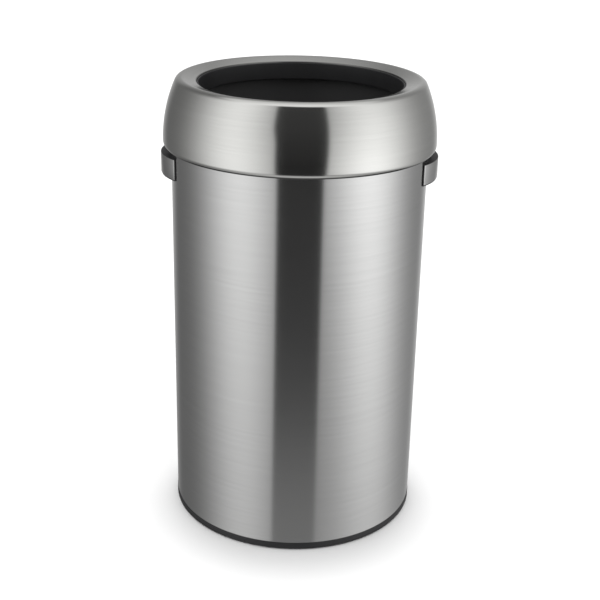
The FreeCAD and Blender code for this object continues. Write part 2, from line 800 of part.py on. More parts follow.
def make_lid_seat_ring():
    """A channel over the shell's bead, with its skirt in the hood's curl and its lip inside the shell."""
    body = new_body("lid_seat_ring")
    skirt_inside = skirt_outside - seat_wall
    curl_inside = edge_radius - gauge
    reach = skirt_outside - edge_middle[0]
    skirt_bottom = widest_height - root(curl_inside * curl_inside - reach * reach) + slip_fit
    lip_bottom = seat_web_bottom - cell("seat_lip_depth")
    section = new_sketch(body, "section", "XZ_Plane")
    draw_outline(section, [
        line_to((lip_inside, lip_bottom)),
        line_to((lip_outside, lip_bottom)),
        line_to((lip_outside, seat_web_bottom)),
        line_to((skirt_inside, seat_web_bottom)),
        line_to((skirt_inside, skirt_bottom)),
        line_to((skirt_outside, skirt_bottom)),
        line_to((skirt_outside, seat_web_top)),
        line_to((lip_inside, seat_web_top)),
    ])
    revolve(body, section)


# Check every object, then write one file for each piece

def check_document():
    for item in doc.Objects:
        if "Invalid" in item.State or "Error" in item.State:
            raise RuntimeError(f"{item.Label} failed: {item.State}")
    for body in nodes:
        if body.Shape.isNull() or not body.Shape.isValid() or not body.Shape.Solids:
            raise RuntimeError(f"{body.Label} has no valid solid")


def write_parts():
    os.makedirs(NODE_FOLDER, exist_ok=True)
    for body in nodes:
        body.Shape.exportStep(os.path.join(NODE_FOLDER, f"{body.Label}.step"))
        print(f"{body.Label}: {len(body.Shape.Solids)} solids, {body.Shape.Volume:.1f} cubic mm")


make_body_shell()
make_base_ring()
make_base_pan()
make_base_screws()
make_base_pads()
for side, turn in (("right", RIGHT_SIDE_DEGREES), ("left", LEFT_SIDE_DEGREES)):
    make_handle_cup(side, turn)
    make_handle_plate(side, turn)
    make_handle_backing(side, turn)
    make_handle_screws(side, turn)
make_liner_bucket()
make_lid_hood()
make_mouth_collar()
make_lid_seat_ring()
doc.recompute()
check_document()
write_parts()
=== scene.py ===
import math

import bmesh
import bpy
from mathutils import Matrix, Vector


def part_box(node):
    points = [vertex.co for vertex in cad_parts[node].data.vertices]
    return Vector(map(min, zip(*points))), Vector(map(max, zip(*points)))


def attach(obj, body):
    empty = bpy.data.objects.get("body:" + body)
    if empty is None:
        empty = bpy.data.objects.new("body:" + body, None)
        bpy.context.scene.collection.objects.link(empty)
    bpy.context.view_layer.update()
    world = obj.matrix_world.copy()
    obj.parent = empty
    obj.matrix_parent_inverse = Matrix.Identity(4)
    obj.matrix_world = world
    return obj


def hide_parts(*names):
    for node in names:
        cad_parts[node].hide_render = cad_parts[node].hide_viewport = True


# Open-top round steel waste bin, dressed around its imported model.
# Metres, +Z up along the can's axis, front towards -Y, handles on +X and -X.

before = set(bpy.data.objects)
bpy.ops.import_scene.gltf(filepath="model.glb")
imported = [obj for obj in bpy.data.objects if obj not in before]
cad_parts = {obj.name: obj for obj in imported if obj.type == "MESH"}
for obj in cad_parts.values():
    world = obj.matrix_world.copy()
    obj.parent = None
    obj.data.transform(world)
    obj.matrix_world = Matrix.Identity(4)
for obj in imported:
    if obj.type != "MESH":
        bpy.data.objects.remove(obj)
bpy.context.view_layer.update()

MM = 0.001

# Sheet and mouldings
SHEET = 0.8 * MM
BEAD_RADIUS = 3.0 * MM
SEAM_WIDTH = 10.0 * MM
SEAM_PROUD = 0.5 * MM
SEAM_INSET = 3.0 * MM
RING_BAND = 10.0 * MM
RING_PROUD = 0.4 * MM
RING_WALL = 3.0 * MM
RING_WIDTH = 21.0 * MM
SHELF_DROP = 1.5 * MM
RIB_GAUGE = 2.0 * MM
RIB_COUNT = 12
FIXING_COUNT = 6
BOSS_RADIUS = 4.5 * MM
STUD_LENGTH = 1.8 * MM
SCREW_RADIUS = 1.75 * MM
SCREW_HOLE = 1.85 * MM
HEAD_RADIUS = 4.0 * MM
HEAD_HEIGHT = 2.4 * MM
PAN_GAUGE = 1.2 * MM
PAN_STEP = 3.0 * MM
PLATEAU_RADIUS = 129.0 * MM
LINER_FOOT_RADIUS = 148.0 * MM
LINER_FOOT_WIDTH = 14.0 * MM
LINER_WALL = 2.2 * MM
LINER_FLOOR_LIFT = 4.7 * MM
LINER_FLOOR = 2.5 * MM
LINER_LIP_WIDTH = 6.0 * MM
LINER_LIP_DEPTH = 9.0 * MM
GRIP_WIDTH = 90.0 * MM
GRIP_HEIGHT = 24.0 * MM
GRIP_DROP = 13.0 * MM
GRIP_CORNER = 9.0 * MM
LID_OVERLAP = 9.0 * MM
EDGE_RADIUS = 8.5 * MM
EDGE_ANGLE = 50.0
HEM_WIDTH = 2.6 * MM
SIDE_RADIUS = 196.0 * MM
CREST_RADIUS = 9.0 * MM
DISH_SLOPE = 15.0
MOUTH_RADIUS = 141.5 * MM
MOUTH_RISE = 70.6 * MM
MOUTH_BEND = 1.6 * MM
MOUTH_FLANGE = 8.0 * MM
COLLAR_WALL = 2.3 * MM
COLLAR_WEB = 2.0 * MM
SEAT_WALL = 2.5 * MM
SEAT_LIP_OUTSIDE = 173.7 * MM
FIT = 0.1 * MM

# Handles
HANDLE_HALF_ANGLE = 20.0
HANDLE_END = 1.0 * MM
STRIP_GAUGE = 0.8 * MM
STRIP_END_GAP = 0.15 * MM
HANDLE_SCREW_ANGLE = 9.0
HANDLE_SCREW_DROP = 6.0 * MM
SCREW_BITE = 8.0 * MM
BACKING_HALF_ANGLE = 16.0
BACKING_HEIGHT = 18.0 * MM
BACKING_GAUGE = 1.5 * MM

# Small roundings and gaps
EDGE_BREAK = 0.3 * MM
SEAM_BREAK = 0.2 * MM
TIP_GAP = 0.5 * MM

# Places from the frame
bead_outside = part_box("body_shell")[1][0]
shell_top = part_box("body_shell")[1][2]
ring_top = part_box("base_ring")[1][2]
ring_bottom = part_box("base_ring")[0][2]
collar_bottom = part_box("mouth_collar")[0][2]
collar_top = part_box("mouth_collar")[1][2]
liner_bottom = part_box("liner_bucket")[0][2]
liner_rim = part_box("liner_bucket")[1][2]
liner_rim_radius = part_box("liner_bucket")[1][0]
lid_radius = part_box("lid_hood")[1][0]
seat_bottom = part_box("lid_seat_ring")[0][2]
seat_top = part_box("lid_seat_ring")[1][2]
skirt_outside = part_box("lid_seat_ring")[1][0]
handle_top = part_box("right_handle_cup")[1][2]
strip_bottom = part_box("right_handle_plate")[0][2]
strip_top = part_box("right_handle_plate")[1][2]
strip_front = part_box("right_handle_plate")[1][0]

shell_inside = bead_outside - 2 * BEAD_RADIUS
body_radius = shell_inside + SHEET
band_top = ring_bottom + RING_BAND
shelf_height = band_top - SHELF_DROP
fixing_circle = body_radius - RING_WIDTH / 2
handle_screw_height = handle_top - HANDLE_SCREW_DROP
widest_height = shell_top - LID_OVERLAP
hood_edge = widest_height - EDGE_RADIUS * math.sin(math.radians(EDGE_ANGLE))
mouth_height = shell_top + MOUTH_RISE

# Steps finer than the eye sees from a step away
TURN_STEPS = 224
SMALL_TURN_STEPS = 40
ROUND_STEPS = 6
BEVEL_STEPS = 3

# Edges that bend more than these angles are shown sharp, or are rounded
SHARP_ANGLE = 35.0
CORNER_ANGLE = 50.0

BRUSH_MAP = "brush"


# Node trees

def add_node(tree, kind, inputs=None, **properties):
    """A node with its properties set, and each socket given a value or linked to another socket."""
    made = tree.nodes.new(kind)
    for name, value in properties.items():
        setattr(made, name, value)
    for key, value in (inputs or {}).items():
        if isinstance(value, bpy.types.NodeSocket):
            tree.links.new(value, made.inputs[key])
        else:
            made.inputs[key].default_value = value
    return made


def math_node(tree, operation, *values):
    return add_node(tree, "ShaderNodeMath", dict(enumerate(values)), operation=operation).outputs[0]


def remap(tree, value, low, high, new_low, new_high, smooth=False):
    kind = "SMOOTHSTEP" if smooth else "LINEAR"
    inputs = {"Value": value, "From Min": low, "From Max": high, "To Min": new_low, "To Max": new_high}
    return add_node(tree, "ShaderNodeMapRange", inputs, interpolation_type=kind).outputs["Result"]


def radians(angles):
    return tuple(math.radians(angle) for angle in angles)


def by_angle(tree, angle, span, ends, smooth=False):
    """From one end value to the other while an angle crosses a span, which is given in degrees."""
    return remap(tree, angle, *radians(span), *ends, smooth)


def blend(tree, first, share, second):
    """Two values together: the first by its share, the second by the rest."""
    return add_node(tree, "ShaderNodeMix", {"Factor": share, 2: second, 3: first}).outputs[0]


def mix_colours(tree, share, first, second):
    inputs = {"Factor": share, 6: first, 7: second}
    return add_node(tree, "ShaderNodeMix", inputs, data_type="RGBA").outputs[2]


def new_finish(name):
    """A material with a bare Principled shader; returns the material, its tree and that shader."""
    material = bpy.data.materials.new(name)
    material.use_nodes = True
    tree = material.node_tree
    shader = next(item for item in tree.nodes if item.type == "BSDF_PRINCIPLED")
    return material, tree, shader


# Finishes

# Pattern scales for each metre of X, of Y, and of Z or the way across the brushing
BRUSH_LINES = (16, 16, 2400)
BRUSH_STREAKS = (5, 5, 240)
BRUSH_CLOUDS = (9, 9, 7)
PLATE_SPANGLE = (320, 320, 320)
PLATE_STAIN = (40, 40, 40)
PLASTIC_FLOW = (14, 14, 5)
RUBBER_CRUMB = (900, 900, 900)
FLOOR_CLOUDS = (6, 6, 6)

# Nearly all of a noise lies between these values
NOISE_RANGE = (0.3, 0.7)

BRUSH_SPREAD = 0.5
# Painted shade for the hood's hem and mouth's bend: how far it fades in, and its dark tone
PAINTED_SHADE_FADE = 0.8 * MM
PAINTED_SHADE_TONE = (0.16, 0.16, 0.156, 1)
SPANGLE_COOL = (0.44, 0.46, 0.48, 1)
SPANGLE_PALE = (0.58, 0.59, 0.6, 1)
STRAW_STAIN = (0.56, 0.54, 0.47, 1)
RUBBER_TONE = (0.026, 0.026, 0.027, 1)
DUST_TONE = (0.16, 0.15, 0.14, 1)
DUST_HEIGHT = 1.2 * MM
DUST_SHARE = 0.6


def noise(tree, vector, detail=2.0, roughness=0.5):
    inputs = {"Vector": vector, "Scale": 1.0, "Detail": detail, "Roughness": roughness}
    return add_node(tree, "ShaderNodeTexNoise", inputs).outputs["Fac"]


def scaled(tree, vector, scale):
    return add_node(tree, "ShaderNodeMapping", {"Vector": vector, "Scale": scale}).outputs["Vector"]


def own_place(tree):
    """The place on a piece in the can's own frame."""
    return add_node(tree, "ShaderNodeTexCoord").outputs["Object"]


def brush_place(tree):
    """Z runs across the brushing. X and Y are the piece's own, so that the lines close round the can."""
    spot = add_node(tree, "ShaderNodeSeparateXYZ", {"Vector": own_place(tree)})
    sheet = add_node(tree, "ShaderNodeUVMap", uv_map=BRUSH_MAP).outputs["UV"]
    across = add_node(tree, "ShaderNodeSeparateXYZ", {"Vector": sheet})
    inputs = {"X": spot.outputs["X"], "Y": spot.outputs["Y"], "Z": across.outputs["X"]}
    return add_node(tree, "ShaderNodeCombineXYZ", inputs).outputs["Vector"]


def hood_painted_shade(tree):
    """Painted shade on the hood: 0 at its curled hem, which is painted dark as the shadow gap under the
    hood, and at its mouth's bend, which is painted dark to dim its reflection; 1 elsewhere.
    """
    place = own_place(tree)
    height = add_node(tree, "ShaderNodeSeparateXYZ", {"Vector": place}).outputs["Z"]
    flat = scaled(tree, place, (1, 1, 0))
    radius = add_node(tree, "ShaderNodeVectorMath", {0: flat}, operation="LENGTH").outputs["Value"]
    hem = hood_edge + HEM_WIDTH
    bend = MOUTH_RADIUS + MOUTH_BEND
    above = remap(tree, height, hem - PAINTED_SHADE_FADE, hem, 0, 1, smooth=True)
    beyond = remap(tree, radius, bend - PAINTED_SHADE_FADE, bend, 0, 1, smooth=True)
    return math_node(tree, "MULTIPLY", above, beyond)


def brushed_steel(name, dark, light, roughness, painted_shade=None):
    """Satin stainless sheet: fine lines along the brushing, and gloss that spreads across them."""
    material, tree, shader = new_finish(name)
    place = brush_place(tree)
    lines = noise(tree, scaled(tree, place, BRUSH_LINES), detail=3.0, roughness=0.65)
    streaks = noise(tree, scaled(tree, place, BRUSH_STREAKS))
    clouds = noise(tree, scaled(tree, place, BRUSH_CLOUDS))
    tone = remap(tree, blend(tree, lines, 0.6, streaks), *NOISE_RANGE, 0, 1)
    colour = mix_colours(tree, tone, (*dark, 1), (*light, 1))
    # Painted shade, where given, darkens the colour to a dull grey
    if painted_shade:
        colour = mix_colours(tree, painted_shade(tree), PAINTED_SHADE_TONE, colour)
    matt = remap(tree, blend(tree, lines, 0.7, clouds), *NOISE_RANGE, *roughness)
    bump = add_node(tree, "ShaderNodeBump", {"Height": lines, "Strength": 0.06, "Distance": 0.02 * MM})
    tangent = add_node(tree, "ShaderNodeTangent", direction_type="UV_MAP", uv_map=BRUSH_MAP)
    shader.inputs["Metallic"].default_value = 1.0
    shader.inputs["Anisotropic"].default_value = BRUSH_SPREAD
    tree.links.new(colour, shader.inputs["Base Color"])
    tree.links.new(matt, shader.inputs["Roughness"])
    tree.links.new(bump.outputs["Normal"], shader.inputs["Normal"])
    tree.links.new(tangent.outputs["Tangent"], shader.inputs["Tangent"])
    return material


def plated_steel(name):
    """Zinc plate: a fine spangle, faintly blue and straw coloured."""
    material, tree, shader = new_finish(name)
    place = own_place(tree)
    spangle = noise(tree, scaled(tree, place, PLATE_SPANGLE), detail=3.0)
    stain = noise(tree, scaled(tree, place, PLATE_STAIN))
    plate = mix_colours(tree, remap(tree, spangle, 0.35, 0.65, 0, 1), SPANGLE_COOL, SPANGLE_PALE)
    colour = mix_colours(tree, remap(tree, stain, 0.45, 0.75, 0, 0.5), plate, STRAW_STAIN)
    shader.inputs["Metallic"].default_value = 1.0
    tree.links.new(colour, shader.inputs["Base Color"])
    tree.links.new(remap(tree, spangle, *NOISE_RANGE, 0.3, 0.44), shader.inputs["Roughness"])
    return material


def moulded_plastic(name, dark, light, roughness, grain, gloss):
    """Black moulding with a fine spark-eroded grain and a faint flow mark here and there."""
    material, tree, shader = new_finish(name)
    place = own_place(tree)
    pits = noise(tree, scaled(tree, place, (grain, grain, grain)))
    flow = noise(tree, scaled(tree, place, PLASTIC_FLOW), detail=3.0)
    tone = blend(tree, pits, 0.5, flow)
    colour = mix_colours(tree, remap(tree, tone, 0.35, 0.65, 0, 1), (*dark, 1), (*light, 1))
    bump = add_node(tree, "ShaderNodeBump", {"Height": pits, "Strength": 0.2, "Distance": 0.05 * MM})
    shader.inputs["Specular IOR Level"].default_value = gloss
    tree.links.new(colour, shader.inputs["Base Color"])
    tree.links.new(remap(tree, tone, *NOISE_RANGE, *roughness), shader.inputs["Roughness"])
    tree.links.new(bump.outputs["Normal"], shader.inputs["Normal"])
    return material


def pad_rubber(name):
    """Matt rubber, dusty where it meets the floor."""
    material, tree, shader = new_finish(name)
    place = own_place(tree)
    height = add_node(tree, "ShaderNodeSeparateXYZ", {"Vector": place}).outputs["Z"]
    crumb = noise(tree, scaled(tree, place, RUBBER_CRUMB), detail=3.0)
    dust = math_node(tree, "MULTIPLY", remap(tree, height, 0, DUST_HEIGHT, DUST_SHARE, 0), crumb)
    colour = mix_colours(tree, dust, RUBBER_TONE, DUST_TONE)
    bump = add_node(tree, "ShaderNodeBump", {"Height": crumb, "Strength": 0.3, "Distance": 0.1 * MM})
    tree.links.new(colour, shader.inputs["Base Color"])
    tree.links.new(remap(tree, crumb, *NOISE_RANGE, 0.72, 0.9), shader.inputs["Roughness"])
    tree.links.new(bump.outputs["Normal"], shader.inputs["Normal"])
    return material


# Outlines in the half plane of radius and height

def polar(radius, degrees):
    angle = math.radians(degrees)
    return Vector((radius * math.cos(angle), radius * math.sin(angle)))


def arc(centre, radius, start, end, steps):
    """Points of an arc from one angle to another in degrees, both ends with it."""
    centre = Vector(centre)
    return [centre + polar(radius, start + (end - start) * step / steps) for step in range(steps + 1)]


def rounded(corners, closed=True):
    """An outline through (radius, height, rounding) corners, each with its own round edge."""
    points = []
    count = len(corners)
    for index, (across, up, rounding) in enumerate(corners):
        corner = Vector((across, up))
        at_end = not closed and index in (0, count - 1)
        if at_end or not rounding:
            points.append(corner)
            continue
        before = (Vector(corners[index - 1][:2]) - corner).normalized()
        after = (Vector(corners[(index + 1) % count][:2]) - corner).normalized()
        half = before.angle(after) / 2
        middle = corner + (before + after).normalized() * (rounding / math.sin(half))
        first = corner + before * (rounding / math.tan(half)) - middle
        last = corner + after * (rounding / math.tan(half)) - middle
        turn = first.angle_signed(last)
        for step in range(ROUND_STEPS + 1):
            points.append(middle + Matrix.Rotation(-turn * step / ROUND_STEPS, 2) @ first)
    return points


# Meshes

def finish_mesh(mesh):
    """Smooth faces, with the edges of real corners kept sharp."""
    for face in mesh.polygons:
        face.use_smooth = True
    mesh.set_sharp_from_angle(angle=math.radians(SHARP_ANGLE))


def new_piece(name, mesh, finish):
    mesh.materials.clear()
    mesh.materials.append(finish)
    piece = bpy.data.objects.new(name, mesh)
    bpy.context.scene.collection.objects.link(piece)
    return piece


def mesh_from(name, build):
    """A mesh filled by build, with its doubles merged and its faces outwards."""
    shape = bmesh.new()
    build(shape)
    bmesh.ops.remove_doubles(shape, verts=shape.verts, dist=1e-7)
    bmesh.ops.recalc_face_normals(shape, faces=shape.faces)
    mesh = bpy.data.meshes.new(name)
    shape.to_mesh(mesh)
    shape.free()
    finish_mesh(mesh)
    return mesh


def turn_outline(shape, outline, closed, steps):
    """Turn an outline about the can's axis. The brush map runs along the outline, then round the can."""
    sheet = shape.loops.layers.uv.verify()
    count = len(outline)
    lengths = [0.0]
    for index in range(count):
        lengths.append(lengths[-1] + (outline[(index + 1) % count] - outline[index]).length)
    widest = max(point.x for point in outline)
    rings = []
    for step in range(steps):
        angle = 2 * math.pi * (step / steps) + math.pi / 2
        turned = [(p.x * math.cos(angle), p.x * math.sin(angle), p.y) for p in outline]
        rings.append([shape.verts.new(place) for place in turned])
    spans = count if closed else count - 1
    for step in range(steps):
        here = rings[step]
        there = rings[(step + 1) % steps]
        around = [2 * math.pi * widest * (step + move) / steps for move in (0, 1)]
        for index in range(spans):
            following = (index + 1) % count
            corners = [here[index], there[index], there[following], here[following]]
            places = [(lengths[index], around[0]), (lengths[index], around[1]),
                      (lengths[index + 1], around[1]), (lengths[index + 1], around[0])]
            if outline[index].x == 0:
                corners.pop(0)
                places.pop(0)
            elif outline[following].x == 0:
                corners.pop(3)
                places.pop(3)
            face = shape.faces.new(corners)
            for loop, place in zip(face.loops, places):
                loop[sheet].uv = place


def turned_mesh(name, outline, closed=True, steps=TURN_STEPS):
    mesh = mesh_from(name, lambda shape: turn_outline(shape, outline, closed, steps))
    mesh.uv_layers[0].name = BRUSH_MAP
    return mesh


# Copies round the can

def copies_tree():
    """Copies of one piece, turned about the can's axis by equal steps."""
    tree = bpy.data.node_groups.new("copies_round_the_can", "GeometryNodeTree")
    sockets = {"Piece": "Geometry", "Copies": "Int", "First Angle": "Float", "Step Angle": "Float",
               "Finish": "Material"}
    for name, kind in sockets.items():
        tree.interface.new_socket(name, in_out="INPUT", socket_type=f"NodeSocket{kind}")
    tree.interface.new_socket("Copies", in_out="OUTPUT", socket_type="NodeSocketGeometry")
    given = add_node(tree, "NodeGroupInput")
    points = add_node(tree, "GeometryNodePoints", {"Count": given.outputs["Copies"]})
    index = add_node(tree, "GeometryNodeInputIndex").outputs["Index"]
    steps = math_node(tree, "MULTIPLY", index, given.outputs["Step Angle"])
    angle = math_node(tree, "ADD", steps, given.outputs["First Angle"])
    turn = add_node(tree, "ShaderNodeCombineXYZ", {"Z": angle})
    rotation = add_node(tree, "FunctionNodeEulerToRotation", {"Euler": turn.outputs["Vector"]})
    inputs = {"Points": points.outputs[0], "Instance": given.outputs["Piece"]}
    inputs["Rotation"] = rotation.outputs[0]
    placed = add_node(tree, "GeometryNodeInstanceOnPoints", inputs)
    real = add_node(tree, "GeometryNodeRealizeInstances", {"Geometry": placed.outputs[0]})
    inputs = {"Geometry": real.outputs[0], "Material": given.outputs["Finish"]}
    finished = add_node(tree, "GeometryNodeSetMaterial", inputs)
    add_node(tree, "NodeGroupOutput", {"Copies": finished.outputs[0]})
    return tree


def copies_mesh(name, mesh, finish, count, first=0.0, step=None):
    """A plain mesh with copies of one that stands on the +X side of the can; angles in degrees."""
    holder = new_piece(f"{name}_single", mesh, finish)
    modifier = holder.modifiers.new("copies", "NODES")
    modifier.node_group = COPIES
    settings = {"Copies": count, "First Angle": math.radians(first), "Finish": finish,
                "Step Angle": math.radians(360.0 / count if step is None else step)}
    for socket in COPIES.interface.items_tree:
        if socket.in_out == "INPUT" and socket.name in settings:
            modifier[socket.identifier] = settings[socket.name]
    holder.data.update()
    evaluated = holder.evaluated_get(bpy.context.evaluated_depsgraph_get())
    made = bpy.data.meshes.new_from_object(evaluated)
    made.name = name
    bpy.data.objects.remove(holder)
    return made


def joined_mesh(name, *meshes):
    """One mesh of several, which keep their smooth and sharp edges."""
    shape = bmesh.new()
    for mesh in meshes:
        shape.from_mesh(mesh)
    joined = bpy.data.meshes.new(name)
    shape.to_mesh(joined)
    shape.free()
    return joined


# Turned pieces

def shell_mesh():
    """The rolled shell with its curled bead, and the lap seam down its back."""
    hollow = BEAD_RADIUS - SHEET
    bead = Vector((shell_inside + BEAD_RADIUS, shell_top - BEAD_RADIUS))
    outline = [Vector((shell_inside, band_top))]
    outline += arc(bead, BEAD_RADIUS, 180, -90, 24)
    outline += arc(bead, hollow, -90, 180, 24)
    outline.append(Vector((body_radius, band_top)))
    wall = turned_mesh("shell_wall", outline)
    half = math.degrees(SEAM_WIDTH / 2 / body_radius)
    outside = arc((0, 0), body_radius + SEAM_PROUD, 90 - half, 90 + half, 8)
    inside = arc((0, 0), body_radius - SHEET / 2, 90 - half, 90 + half, 8)
    seam_top = shell_top - 2 * BEAD_RADIUS
    seam = strip_mesh("shell_seam", outside, inside, band_top + SEAM_INSET, seam_top, SEAM_BREAK)
    return joined_mesh("body_shell_sheet", wall, seam)


def hood_mesh():
    """One drawn sheet: curled edge, convex side, round crest, dished top and turned-down mouth."""
    edge = Vector((lid_radius - EDGE_RADIUS, widest_height))
    side = Vector((lid_radius - SIDE_RADIUS, widest_height))
    dish = polar(1.0, 90 + DISH_SLOPE)
    mouth = Vector((MOUTH_RADIUS, mouth_height))
    rise = (mouth - side).dot(dish)
    lean = math.asin((rise - CREST_RADIUS) / (SIDE_RADIUS - CREST_RADIUS))
    crest_angle = DISH_SLOPE + math.degrees(lean)
    crest = side + polar(SIDE_RADIUS - CREST_RADIUS, crest_angle)
    slope = math.radians(DISH_SLOPE)
    bend_height = mouth_height + MOUTH_BEND * (math.tan(slope) - 1 / math.cos(slope))
    bend = Vector((MOUTH_RADIUS + MOUTH_BEND, bend_height))
    arcs = [
        (edge, EDGE_RADIUS, -EDGE_ANGLE, 0, 12),
        (side, SIDE_RADIUS, 0, crest_angle, 40),
        (crest, CREST_RADIUS, crest_angle, 90 + DISH_SLOPE, 20),
        (bend, MOUTH_BEND, 90 + DISH_SLOPE, 180, 10),
    ]
    outline = []
    for middle, radius, start, end, steps in arcs:
        outline += arc(middle, radius, start, end, steps)
    outline.append(Vector((MOUTH_RADIUS, mouth_height - MOUTH_FLANGE)))
    outline.append(Vector((MOUTH_RADIUS + SHEET, mouth_height - MOUTH_FLANGE)))
    for middle, radius, start, end, steps in reversed(arcs):
        outline += arc(middle, radius - SHEET, end, start, steps)
    return turned_mesh("lid_hood_sheet", outline)


def collar_mesh():
    """Lines the mouth and grips the hood's turned-down edge in a slot."""
    near = MOUTH_RADIUS - FIT
    far = MOUTH_RADIUS + SHEET + FIT
    flange = mouth_height - MOUTH_FLANGE
    web = flange - FIT - COLLAR_WEB
    grip = (flange + collar_top) / 2
    return turned_mesh("mouth_collar_moulding", rounded([
        (near - COLLAR_WALL, collar_bottom, 0.9 * MM),
        (near, collar_bottom, 0.9 * MM),
        (near, web, 0.5 * MM),
        (far + COLLAR_WALL, web, 0.6 * MM),
        (far + COLLAR_WALL, grip, 0.6 * MM),
        (far, grip, 0.5 * MM),
        (far, flange - FIT, 0),
        (near, flange - FIT, 0),
        (near, collar_top, 0.5 * MM),
        (near - COLLAR_WALL, collar_top, 1.0 * MM),
    ]))


def seat_ring_mesh():
    """A channel over the shell's bead, inside the hood's edge."""
    edge_middle = lid_radius - EDGE_RADIUS
    curl = EDGE_RADIUS - SHEET
    skirt_bottom = widest_height - math.sqrt(curl ** 2 - (skirt_outside - edge_middle) ** 2) + FIT
    web = seat_top - SEAT_WALL
    skirt_inside = skirt_outside - SEAT_WALL
    lip_inside = SEAT_LIP_OUTSIDE - SEAT_WALL
    return turned_mesh("lid_seat_moulding", rounded([
        (lip_inside, seat_bottom, 0.6 * MM),
        (SEAT_LIP_OUTSIDE, seat_bottom, 1.0 * MM),
        (SEAT_LIP_OUTSIDE, web, 0.5 * MM),
        (skirt_inside, web, 0.5 * MM),
        (skirt_inside, skirt_bottom, 0.6 * MM),
        (skirt_outside, skirt_bottom, 0.3 * MM),
        (skirt_outside, seat_top, 0.6 * MM),
        (lip_inside, seat_top, 1.0 * MM),
    ]))


def bucket_mesh():
    """A tapered bucket with a foot ring, a turned rim and two hand holes."""
    neck = liner_rim_radius - LINER_LIP_WIDTH
    lip_bottom = liner_rim - LINER_LIP_DEPTH
    floor_bottom = liner_bottom + LINER_FLOOR_LIFT
    floor_top = floor_bottom + LINER_FLOOR
    foot_inside = LINER_FOOT_RADIUS - LINER_FOOT_WIDTH
    outline = rounded([
        (0, floor_bottom, 0),
        (foot_inside, floor_bottom, 1.0 * MM),
        (foot_inside, liner_bottom, 1.5 * MM),
        (LINER_FOOT_RADIUS, liner_bottom, 2.5 * MM),
        (neck, liner_rim - LINER_WALL, 0.8 * MM),
        (liner_rim_radius - LINER_WALL, liner_rim - LINER_WALL, 0.8 * MM),
        (liner_rim_radius - LINER_WALL, lip_bottom, 0.6 * MM),
        (liner_rim_radius, lip_bottom, 0.6 * MM),
        (liner_rim_radius, liner_rim, 2.8 * MM),
        (neck - LINER_WALL, liner_rim, 3.0 * MM),
        (LINER_FOOT_RADIUS - LINER_WALL, floor_top, 9.0 * MM),
        (0, floor_top, 0),
    ], closed=False)
    uncut = turned_mesh("bucket_uncut", outline, closed=False)
    bucket = new_piece("bucket_uncut", uncut, BUCKET_PLASTIC)
    half = GRIP_WIDTH / 2
    top = liner_rim - GRIP_DROP
    bottom = top - GRIP_HEIGHT
    slot = rounded([(-half, bottom, GRIP_CORNER), (half, bottom, GRIP_CORNER),
                    (half, top, GRIP_CORNER), (-half, top, GRIP_CORNER)])
    past_rim = 20 * MM
    reach = liner_rim_radius + past_rim
    bar = mesh_from("hand_hole_cutter", lambda shape: cross_bar(shape, slot, reach))
    cutter = new_piece("hand_hole_cutter", bar, BUCKET_PLASTIC)
    return cut_mesh("liner_bucket_moulding", bucket, cutter)


def cross_bar(shape, slot, reach):
    """A bar along X with the given outline in Y and Z."""
    ends = [[shape.verts.new((side * reach, point.x, point.y)) for point in slot] for side in (-1, 1)]
    count = len(slot)
    for index in range(count):
        following = (index + 1) % count
        shape.faces.new([ends[0][index], ends[0][following], ends[1][following], ends[1][index]])
    shape.faces.new(ends[0])
    shape.faces.new(ends[1])


def cut_mesh(name, piece, cutter):
    """The piece's mesh with the cutter's shape taken out of it; both objects go."""
    modifier = piece.modifiers.new("cut", "BOOLEAN")
    modifier.operation = "DIFFERENCE"
    modifier.solver = "EXACT"
    modifier.object = cutter
    evaluated = piece.evaluated_get(bpy.context.evaluated_depsgraph_get())
    made = bpy.data.meshes.new_from_object(evaluated)
    made.name = name
    for item in (piece, cutter):
        bpy.data.objects.remove(item)
    finish_mesh(made)
    return made


# Base

def base_ring_mesh():
    """The ring under the shell: a band, a collar inside the shell, a shelf, and ribs and bosses below."""
    outside = body_radius + RING_PROUD
    inside = body_radius - RING_WIDTH
    upstand = shell_inside - FIT
    web = shelf_height - RING_WALL
    ring = turned_mesh("ring_moulding", rounded([
        (outside, ring_bottom, 1.0 * MM),
        (outside, band_top, 0.3 * MM),
        (upstand, band_top, 0),
        (upstand, ring_top, 0.6 * MM),
        (upstand - RING_WALL, ring_top, 0.6 * MM),
        (upstand - RING_WALL, shelf_height, 0.3 * MM),
        (inside, shelf_height, 0.8 * MM),
        (inside, ring_bottom, 0.8 * MM),
        (inside + RING_WALL, ring_bottom, 0.8 * MM),
        (inside + RING_WALL, web, 0.6 * MM),
        (outside - RING_WALL, web, 0.6 * MM),
        (outside - RING_WALL, ring_bottom, 0.8 * MM),
    ]))
    high = shelf_height - RING_WALL / 2
    rib_start = (inside + RING_WALL / 2, -RIB_GAUGE / 2, ring_bottom + RING_WALL / 2)
    rib_end = (outside - RING_WALL / 2, RIB_GAUGE / 2, high)
    rib = mesh_from("rib", lambda shape: block(shape, rib_start, rib_end))
    ribs = copies_mesh("ribs", rib, BLACK_PLASTIC, RIB_COUNT, first=180.0 / RIB_COUNT)
    tube = rounded([(SCREW_HOLE, ring_bottom, 0.2 * MM), (BOSS_RADIUS, ring_bottom, 0.4 * MM),
                    (BOSS_RADIUS, high, 0), (SCREW_HOLE, high, 0)])
    boss = turned_mesh("boss", tube, steps=SMALL_TURN_STEPS)
    boss.transform(Matrix.Translation((fixing_circle, 0, 0)))
    bosses = copies_mesh("bosses", boss, BLACK_PLASTIC, FIXING_COUNT)
    return joined_mesh("base_ring_moulding", ring, ribs, bosses)


def block(shape, low, high):
    size = [b - a for a, b in zip(low, high)]
    middle = [(a + b) / 2 for a, b in zip(low, high)]
    matrix = Matrix.Translation(middle) @ Matrix.Diagonal((*size, 1))
    bmesh.ops.create_cube(shape, size=1.0, matrix=matrix)


